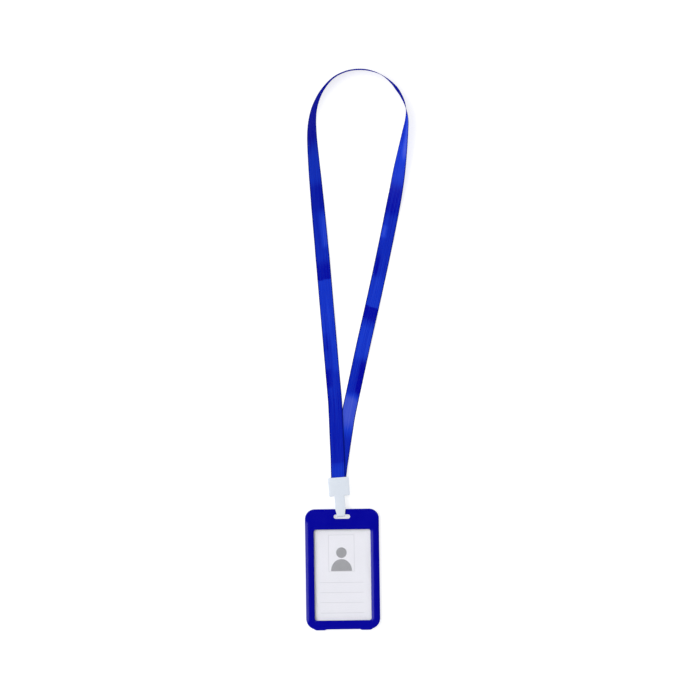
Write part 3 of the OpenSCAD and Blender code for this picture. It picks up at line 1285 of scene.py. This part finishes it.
@dataclass
class HookClip:
    """The clip: a clamp box for the ribbon's two ends, and a hook with a spring latch.

    The hook widens from bend_half to strap_half between the two places in widen. The pegs and the
    latch's pin are each a little thinner than their bores.
    """

    origin: tuple[float, float] = (-0.9, 50.2)
    yaw_deg: float = 3.5
    box_half: float = 9.65
    box_low: float = 17.1
    box_high: float = 34.1
    rear_t: float = 2.0
    top: float = 6.7
    channel_half: float = 7.5
    ceiling: float = 4.55
    wall: float = 2.15
    strap_t: float = 1.4
    strap_half: float = 4.7
    strap_edge: float = 0.4
    bend_half: float = 3.8
    widen: tuple[float, float] = (0.5, 5.0)
    bend_y: float = -2.2
    bend_r: float = 1.9
    leg_y: float = 5.3
    peg: tuple[float, float, float] = (8.575, 20.6, 31.1)
    peg_r: float = 0.7
    bore_r: float = 0.75
    pad_half: float = 6.8
    pad_top: float = 3.2
    tooth_top: float = 3.6
    tooth_half: float = 0.5
    tooth_count: int = 4
    bay_half: float = 3.3
    pivot: tuple[float, float] = (18.3, 1.0)
    pivot_r: float = 0.6
    pin_r: float = 0.55
    pin_half: float = 4.8
    tongue_half: float = 3.0
    finish: MilkyPlastic = MilkyPlastic()

    def put(self, obj: Mesh) -> Mesh:
        """Turn a mesh by the clip's yaw and set it at the clip's origin, in its vertices.

        Args:
            obj: The mesh, in the clip's own frame.

        Returns:
            The mesh.
        """
        turn = Matrix.Rotation(np.radians(self.yaw_deg), 4, "Z")
        obj.data.transform(Matrix.Translation((*self.origin, 0)) @ turn)
        return obj

    def box_outline(self, side: float = 0.0, end: float = 0.0) -> Array:
        """Outline of the clamp box.

        Args:
            side: How far it is drawn in at its sides.
            end: How far it is drawn in at its ends.

        Returns:
            The outline.
        """
        low = (-self.box_half + side, self.box_low + end)
        high = (self.box_half - side, self.box_high - end)
        radius = max(1.0 - min(side, end), 0.3)
        return border(low, high, radius, radius, 6, 12, 10)

    def strap(self) -> Mesh:
        """The hook: a rounded bar carried along strap, bend and leg, as seen from the side.

        The line runs down the strap, through two quarter circles and back along the leg. The
        bar's half width grows with its distance from the bend.

        Returns:
            The hook.
        """
        half_t = self.strap_t / 2
        turn_y = self.bend_y + self.bend_r
        r = self.bend_r - half_t
        down = np.linspace(self.box_low + 6, turn_y + 0.3, 40)
        back = np.linspace(turn_y + 0.3, self.leg_y, 12)
        line = np.concatenate(
            [
                np.column_stack([down, np.full_like(down, self.top - half_t)]),
                arc((turn_y, self.top - self.bend_r), r, 90, 180, 12),
                arc((turn_y, self.bend_r), r, 180, 270, 12),
                np.column_stack([back, np.full_like(back, half_t)]),
            ]
        )
        run = np.gradient(line, axis=0)
        run /= np.linalg.norm(run, axis=1, keepdims=True)
        side = np.stack([run[:, 1], -run[:, 0]], axis=-1)
        grown = np.clip((line[:, 0] - self.widen[0]) / (self.widen[1] - self.widen[0]), 0, 1)
        half_w = self.bend_half + (self.strap_half - self.bend_half) * grown
        edge = border((-1, -half_t), (1, half_t), self.strap_edge, self.strap_edge, 4)
        out = np.sign(edge[:, 0]) * (np.abs(edge[:, 0]) - 1)
        x = np.sign(edge[:, 0]) * half_w[:, None] + out
        yz = line[:, None] + side[:, None] * edge[None, :, 1:2]
        return make_rings("clip_hook_and_cap", np.concatenate([x[..., None], yz], axis=-1))

    def build_front(self, material: bpy.types.Material) -> Mesh:
        """Make the cap with the hook.

        The cap is a stack of outlines. Near its upper face they draw in, more at the sides than
        at the ends, so that the face slopes down to both sides. Each level is how far its outline
        is drawn in at the sides and at the ends, and its height.

        Args:
            material: Its material.

        Returns:
            The piece.
        """
        levels = [
            (0.15, 0.15, self.rear_t),
            (0.0, 0.0, self.rear_t + 0.15),
            (0.0, 0.0, self.top - 0.62),
            (0.06, 0.05, self.top - 0.44),
            (0.2, 0.17, self.top - 0.31),
            (0.5, 0.32, self.top - 0.24),
            (1.2, 0.45, self.top - 0.15),
            (1.8, 0.58, self.top - 0.07),
            (2.3, 0.7, self.top - 0.02),
            (2.7, 0.85, self.top),
        ]
        rings = [
            np.column_stack([line, np.full(len(line), z)])
            for line, z in ((self.box_outline(side, end), z) for side, end, z in levels)
        ]
        cap = make_rings("cap", np.stack(rings))
        # Like every cutter, the channel reaches past the faces that it opens
        channel = block(
            (-self.channel_half, self.box_low + self.wall, self.rear_t - 1),
            (self.channel_half, self.box_high + 3, self.ceiling),
            0.25,
        )
        bores = four_rods(self.peg, self.bore_r, self.rear_t - 0.5, self.tooth_top + 0.05)
        carve(cap, Carve.CUT, channel, *bores)
        ledge = block(
            (-self.strap_half, self.leg_y - 0.8, 0), (self.strap_half, self.leg_y + 1.2, 0.7), 0.15
        )
        obj = carve(self.strap(), Carve.JOIN, cap, ledge)
        return finish_piece(self.put(obj), material, Body.LANYARD, ["clip_front"])

    def build_rear(self, material: bpy.types.Material) -> Mesh:
        """Make the rear plate: a tray with the toothed pad that the ribbon lies on.

        Each tooth is a ridge right across the pad, and the pegs stand as high as the teeth.

        Args:
            material: Its material.

        Returns:
            The piece.
        """
        obj = loft("clip_rear_plate", self.box_outline(), round_profile(0, self.rear_t, 0.5, 0.15))
        bay_high = (self.bay_half, self.box_low + 3, 3)
        bay = block((-self.bay_half, self.box_low - 1, -1), bay_high, 0.1)
        bore = arc(self.pivot, self.pivot_r, 0, 360, 20)[:-1]
        bore_ends = np.array([[0, -1], [0, 1]]) * (self.pin_half + 0.2)
        carve(obj, Carve.CUT, bay, loft("bearing", bore, bore_ends, Axis.ACROSS))
        low, high = self.box_low + self.wall + 1.5, self.box_high - 0.8
        pad = block((-self.pad_half, low, 1.5), (self.pad_half, high, self.pad_top), 0.2)
        half, foot = self.tooth_half, self.pad_top
        root = [(-half, foot - 0.2), (half, foot - 0.2)]
        ridge = np.array([*root, (half, foot), (0, self.tooth_top), (-half, foot)])
        ridge_ends = np.array([[0, -1], [0, 1]]) * (self.pad_half - 0.2)
        teeth = [
            loft("tooth", ridge + (y, 0), ridge_ends, Axis.ACROSS)
            for y in np.linspace(low + 1.2, high - 1.2, self.tooth_count)
        ]
        pegs = four_rods(self.peg, self.peg_r, 1.5, self.tooth_top, 0.15)
        carve(obj, Carve.JOIN, pad, *teeth, *pegs)
        return finish_piece(self.put(obj), material, Body.LANYARD, ["clip_rear"])

    def build_latch(self, material: bpy.types.Material) -> Mesh:
        """Make the latch: a thin tongue that closes the hook, with a round root and a pin.

        Args:
            material: Its material.

        Returns:
            The piece.
        """
        tip = self.leg_y + 0.3
        outline = np.concatenate(
            [
                [(tip, 0.8), (tip + 1.2, 0.8), (tip + 1.2, 0.4)],
                arc(self.pivot, self.pivot_r, -90, 90, 10),
                [(tip + 0.25, 1.6), (tip, 1.35)],
            ]
        )
        tongue_ends = round_profile(-self.tongue_half, self.tongue_half, 0.15, 0.15, 3)
        obj = loft("clip_latch_tongue", outline, tongue_ends, Axis.ACROSS)
        pin = arc(self.pivot, self.pin_r, 0, 360, 20)[:-1]
        pin_ends = round_profile(-self.pin_half, self.pin_half, 0.12, 0.12, 2)
        carve(obj, Carve.JOIN, loft("pin", pin, pin_ends, Axis.ACROSS))
        return finish_piece(self.put(obj), material, Body.LATCH, ["clip_latch"])

    def build(self) -> list[Mesh]:
        """Make and dress the clip's three pieces."""
        material = self.finish.build()
        return [self.build_front(material), self.build_rear(material), self.build_latch(material)]


# The card holder ------------------------------------------------------------------------------


@dataclass
class CardHolder:
    """The rigid holder: a front frame with crowned rails, a back shell and a clear window.

    Its lower edge has two low feet, between the two distances from the middle in foot_x. The
    frame's section has a radius at the window's edge, one at the outer edge and a bevel at the
    parting line, and its rails are crowned between the two places in rail_y.
    """

    half_w: float = 34.0
    low: float = -55.2
    high: float = 55.2
    r_low: float = 10.0
    r_high: float = 9.0
    shell_t: float = 2.4
    top: float = 5.0
    window_half: float = 26.0
    window_low: float = -47.1
    window_high: float = 36.5
    window_r: float = 2.0
    rebate: float = 1.95
    rebate_top: float = 3.0
    edge_in: float = 0.35
    edge_out: float = 0.7
    seam: float = 0.15
    foot_x: tuple[float, float] = (15.2, 27.2)
    foot_t: float = 0.8
    rail_y: tuple[float, float] = (-52.0, 48.0)
    rail_fall: float = 1.0
    rail_power: float = 1.7
    slot_half: float = 7.5
    slot_low: float = 46.2
    slot_high: float = 50.2
    slot_r: float = 1.95
    bridge_low: float = 3.6
    peg: tuple[float, float, float] = (30.65, -41.1, 30.5)
    peg_r: float = 1.0
    bore_r: float = 1.05
    pocket_half: float = 27.3
    pocket_high: float = 37.8
    pocket_low: float = 1.2
    thumb_half: float = 8.0
    thumb_low: float = -41.1
    thumb_high: float = -15.1
    pane_gap: float = 0.03
    plastic: MouldedPlastic = MouldedPlastic()
    clear: ClearSheet = ClearSheet()

    def outline(self) -> Array:
        """The holder's outline, with two low feet at its lower edge.

        Returns:
            The outline.
        """
        line = border(
            (-self.half_w, self.low), (self.half_w, self.high), self.r_low, self.r_high, 14, 150, 70
        )
        foot = self.foot_t * hump(*self.foot_x, 2.0, np.abs(line[:, 0]))
        line[:, 1] -= foot * (line[:, 1] < self.low + 2)
        return line

    def window(self) -> Array:
        """The window's outline, with as many points in each corner and run as the holder's."""
        low, high = (-self.window_half, self.window_low), (self.window_half, self.window_high)
        return border(low, high, self.window_r, self.window_r, 14, 150, 70)

    def crown(self, flat: Array) -> Array:
        """Height of the frame's upper face.

        Each rail falls off to both sides of its middle, with a power of the distance, and comes
        back to full height at the header and the sill.

        Args:
            flat: Places in x and y.

        Returns:
            The height at each place.
        """
        x, y = np.abs(flat[..., 0]), flat[..., 1]
        mid = (self.half_w + self.window_half) / 2
        reach = (x - mid) / (self.half_w - mid)
        outer = hump(*self.rail_y, 6, y) * (reach > 0)
        inner = hump(self.window_low - 2, self.window_high + 2, 4, y) * (reach <= 0)
        inner = inner * rise(self.window_half - 1.5, self.window_half, x)
        fall = np.clip(np.abs(reach), 0, 1) ** self.rail_power
        return self.top - self.rail_fall * fall * (outer + inner)

    def slot(self, name: str, high: float, profile: Array) -> Mesh:
        """Cutter for the hook's slot.

        Args:
            name: Its name.
            high: How far up the holder it reaches.
            profile: The cutter's profile.

        Returns:
            The cutter.
        """
        low, high_corner = (-self.slot_half, self.slot_low), (self.slot_half, high)
        return loft(name, border(low, high_corner, self.slot_r, self.slot_r, 10), profile)

    def build_frame(self, material: bpy.types.Material) -> Mesh:
        """Make the front frame: one closed section carried round the window.

        The section climbs the window's wall, rounds its edge, crosses the crowned face, rounds
        the outer edge, drops to the parting line and returns under the window's rebate.

        Args:
            material: Its material.

        Returns:
            The piece.
        """
        window, outline = self.window(), self.outline()
        into, out = outward(window), outward(outline)
        turn = np.linspace(0, np.pi / 2, 6)
        r_in, r_out = self.edge_in, self.edge_out
        rows = [(window, self.rebate_top)]
        for a in turn:
            flat = window + into * r_in * (1 - np.cos(a))
            rows.append((flat, self.crown(flat) - r_in * (1 - np.sin(a))))
        start, end = window + into * r_in, outline - out * r_out
        for share in np.linspace(0, 1, 22)[1:-1]:
            flat = start * (1 - share) + end * share
            rows.append((flat, self.crown(flat)))
        for a in turn[::-1]:
            flat = outline - out * r_out * (1 - np.cos(a))
            rows.append((flat, self.crown(flat) - r_out * (1 - np.sin(a))))
        rows += [
            (outline, self.shell_t + self.seam),
            (outline - out * self.seam, self.shell_t),
            (window + into * self.rebate, self.shell_t),
            (window + into * self.rebate, self.rebate_top),
        ]
        rings = np.stack(
            [np.column_stack([flat, np.broadcast_to(z, len(flat))]) for flat, z in rows], axis=1
        )
        obj = make_rings("holder_frame", rings, loop=True)
        slot = self.slot("slot", self.slot_high, flared_profile(self.shell_t, self.top, 0.15))
        under_bridge = block(
            (-self.slot_half, self.slot_high - 1, 1),
            (self.slot_half, self.high + 2, self.bridge_low),
        )
        carve(obj, Carve.CUT, slot, under_bridge, *four_rods(self.peg, self.bore_r, 1.5, 3.55))
        return finish_piece(obj, material, Body.HOLDER, ["holder_front_frame"])

    def build_shell(self, material: bpy.types.Material) -> Mesh:
        """Make the back shell: a plate with the card's pocket, the hook's notch and a thumb hole.

        Args:
            material: Its material.

        Returns:
            The piece.
        """
        obj = loft("holder_shell", self.outline(), round_profile(0, self.shell_t, 0.6, self.seam))
        pocket = block(
            (-self.pocket_half, self.low - 4, self.pocket_low),
            (self.pocket_half, self.pocket_high, 4),
            0.1,
        )
        notch = self.slot("notch", self.high + 6, flared_profile(0, self.shell_t, 0.3))
        low, high = (-self.thumb_half, self.thumb_low), (self.thumb_half, self.thumb_high)
        hole = border(low, high, self.thumb_half - 0.05, self.thumb_half - 0.05, 16)
        thumb = loft("thumb", hole, flared_profile(0, self.pocket_low, 0.35))
        carve(obj, Carve.CUT, pocket, notch, thumb)
        carve(obj, Carve.JOIN, *four_rods(self.peg, self.peg_r, 1.4, 3.5, 0.15))
        return finish_piece(obj, material, Body.HOLDER, ["holder_back_shell"])

    def build_pane(self) -> Mesh:
        """Make the window pane, which sits in the frame's rebate.

        Returns:
            The piece.
        """
        reach = self.rebate - self.pane_gap
        low = (-self.window_half - reach, self.window_low - reach)
        high = (self.window_half + reach, self.window_high + reach)
        sheet = plate_profile(self.shell_t + 0.02, self.rebate_top - 0.02, 0.08)
        obj = loft("window_pane", border(low, high, 3.9, 3.9, 12), sheet)
        return finish_piece(obj, self.clear.build(), Body.HOLDER, ["front_window"])

    def build(self) -> list[Mesh]:
        """Make and dress the holder's three pieces."""
        material = self.plastic.build()
        return [self.build_frame(material), self.build_shell(material), self.build_pane()]


# The card -------------------------------------------------------------------------------------


@dataclass
class InsertCard:
    """The paper card with its printed placeholder: a portrait and four lines for writing.

    All print is placed about the middle of the portrait, and its shoulders are half an ellipse.
    """

    half_w: float = 27.0
    low: float = -48.1
    high: float = 37.5
    corner: float = 3.2
    under: float = 1.32
    face: float = 2.08
    ink_t: float = 0.02
    middle: float = -0.9
    head_y: float = 15.0
    head_r: float = 4.85
    shoulders: tuple[float, float] = (9.65, 10.9)
    shoulders_y: float = -1.8
    portrait_half: float = 12.0
    portrait_y: tuple[float, float] = (-2.4, 31.6)
    portrait_line: float = 0.5
    line_x: tuple[float, float] = (-19.9, 20.0)
    line_y: tuple[float, ...] = (-12.3, -21.5, -30.7, -40.3)
    line_t: float = 0.5
    stock: PrintedCard = PrintedCard("coated_card_white", "f4efec", "f1ede9")
    grey: PrintedCard = PrintedCard("printed_ink_grey", "a8a5a2", "a19e9a")
    pale: PrintedCard = PrintedCard("printed_ink_pale", "e1dcd9", "dddad6")

    def ink(self, name: str, outline: Array, material: bpy.types.Material) -> Mesh:
        """A layer of ink, half in the card's face and half over it.

        Args:
            name: The piece's name.
            outline: Its outline.
            material: Its material.

        Returns:
            The piece.
        """
        ends = np.array([[0.0, self.face - self.ink_t], [0.0, self.face + self.ink_t]])
        return finish_piece(loft(name, outline, ends), material, Body.CARD)

    def portrait_frame(self, material: bpy.types.Material) -> Mesh:
        """The line of ink round the portrait: a closed section carried round it.

        Args:
            material: Its material.

        Returns:
            The piece.
        """
        half, line, (low, high) = self.portrait_half, self.portrait_line, self.portrait_y
        outer = border((self.middle - half, low), (self.middle + half, high), 0.3, 0.3, 3)
        half -= line
        inner = border(
            (self.middle - half, low + line), (self.middle + half, high - line), 0.1, 0.1, 3
        )
        below, above = self.face - self.ink_t, self.face + self.ink_t
        section = [(outer, below), (outer, above), (inner, above), (inner, below)]
        rings = np.stack(
            [np.column_stack([edge, np.full(len(edge), z)]) for edge, z in section], axis=1
        )
        box = make_rings("print_portrait_frame", rings, loop=True)
        return finish_piece(box, material, Body.CARD)

    def build(self) -> list[Mesh]:
        """Make and dress the card and its print.

        Returns:
            The pieces.
        """
        stock, grey, pale = self.stock.build(), self.grey.build(), self.pale.build()
        card = loft(
            "card_blank",
            border((-self.half_w, self.low), (self.half_w, self.high), self.corner, self.corner, 10),
            plate_profile(self.under, self.face, 0.08),
        )
        head = arc((self.middle, self.head_y), self.head_r, 0, 360, 48)[:-1]
        dome = arc((0, 0), 1, 0, 180, 48) * self.shoulders + (self.middle - 0.05, self.shoulders_y)
        pieces = [
            finish_piece(card, stock, Body.CARD, ["insert_card"]),
            self.ink("print_head", head, grey),
            self.ink("print_shoulders", dome, grey),
            self.portrait_frame(pale),
        ]
        left, right = self.middle + self.line_x[0], self.middle + self.line_x[1]
        for number, y in enumerate(self.line_y, 1):
            low, high = (left, y - self.line_t / 2), (right, y + self.line_t / 2)
            pieces.append(self.ink(f"print_line_{number}", border(low, high, 0.1, 0.1, 2), pale))
        return pieces


# The studio -----------------------------------------------------------------------------------


@dataclass
class Studio:
    """A lit white table in a pale room, with one softbox to the left."""

    aim: tuple[float, float] = (9.54, 201.0)
    view_mm: float = 643.3
    height_m: float = 3.0
    roll_deg: float = 0.78
    sensor_mm: float = 36.0
    floor_m: float = 6.0
    floor_drop_m: float = 5e-5
    table: str = "c4c4c4"
    table_glow: float = 0.6
    tooth_mm: float = 0.8
    key_tilt_deg: float = 46.0
    key_turn_deg: float = 168.0
    key_far_m: float = 5.0
    key_size_m: float = 3.8
    key_power_w: float = 135.0
    room: float = 0.82

    def build_camera(self) -> None:
        """Set a long lens straight above the middle of the view."""
        lens = bpy.data.cameras.new("camera")
        lens.sensor_width = self.sensor_mm
        lens.lens = self.sensor_mm * self.height_m / (self.view_mm * MM)
        lens.clip_end = 50
        camera = bpy.data.objects.new("camera", lens)
        camera.location = (self.aim[0] * MM, self.aim[1] * MM, self.height_m)
        camera.rotation_euler = (0, 0, -np.radians(self.roll_deg))
        bpy.context.scene.collection.objects.link(camera)
        bpy.context.scene.camera = camera

    def build_floor(self) -> None:
        """Lay the floor: a matt white table top, lit from below, a hair under the object."""
        mat = new_material("lit_white_table")
        place = add_node(mat, "ShaderNodeTexCoord", {}, {}).outputs["Object"]
        tooth = add_node(
            mat, "ShaderNodeTexNoise", {"Scale": 1 / (self.tooth_mm * MM)}, {"Vector": place}
        )
        bump = add_node(
            mat,
            "ShaderNodeBump",
            {"Strength": 0.1, "Distance": 0.01 * MM},
            {"Height": tooth.outputs[0]},
        )
        shader = add_node(
            mat,
            "ShaderNodeBsdfPrincipled",
            {
                "Base Color": srgb(self.table),
                "Roughness": 0.9,
                "Specular IOR Level": 0.1,
                "Emission Color": srgb("ffffff"),
                "Emission Strength": self.table_glow,
            },
            {"Normal": bump.outputs[0]},
        )
        corners = [(-1, -1), (1, -1), (1, 1), (-1, 1)]
        points = [(x * self.floor_m, y * self.floor_m, -self.floor_drop_m) for x, y in corners]
        mesh = bpy.data.meshes.new("floor")
        mesh.from_pydata(points, [], [(0, 1, 2, 3)])
        mesh.materials.append(show(mat, shader.outputs[0]))
        floor = bpy.data.objects.new("floor", mesh)
        bpy.context.scene.collection.objects.link(floor)

    def hang_key_light(self) -> None:
        """Hang a square softbox that faces the middle of the view.

        It leans from straight up by its tilt, and stands in the direction of its turn,
        anticlockwise from +X.
        """
        lamp = bpy.data.lights.new("key_light", "AREA")
        lamp.shape = "SQUARE"
        lamp.size = self.key_size_m
        lamp.energy = self.key_power_w
        obj = bpy.data.objects.new("key_light", lamp)
        tilt, turn = np.radians(self.key_tilt_deg), np.radians(self.key_turn_deg)
        away = np.array([np.sin(tilt) * np.cos(turn), np.sin(tilt) * np.sin(turn), np.cos(tilt)])
        obj.location = away * self.key_far_m + np.array([*self.aim, 0]) * MM
        obj.rotation_euler = (0, tilt, turn)
        bpy.context.scene.collection.objects.link(obj)

    def light_room(self) -> None:
        """Make the room a pale, even light that glossy faces don't mirror."""
        world = bpy.data.worlds.new("studio")
        world.use_nodes = True
        world.node_tree.nodes.clear()
        light = add_node(
            world, "ShaderNodeBackground", {"Color": srgb("ffffff"), "Strength": self.room}, {}
        )
        add_node(world, "ShaderNodeOutputWorld", {}, {"Surface": light.outputs[0]})
        bpy.context.scene.world = world
        world.cycles_visibility.glossy = False
        view = bpy.context.scene.view_settings
        view.view_transform = "Standard"
        view.look = "None"

    def build(self) -> None:
        """Build the studio."""
        self.build_camera()
        self.build_floor()
        self.hang_key_light()
        self.light_room()


def main() -> None:
    """Build the studio, then each sub-assembly in order."""
    logging.basicConfig(level=logging.INFO, format="%(name)s: %(message)s")
    Studio().build()
    NeckRibbon().build()
    HookClip().build()
    CardHolder().build()
    InsertCard().build()


if __name__ == "__main__":
    main()
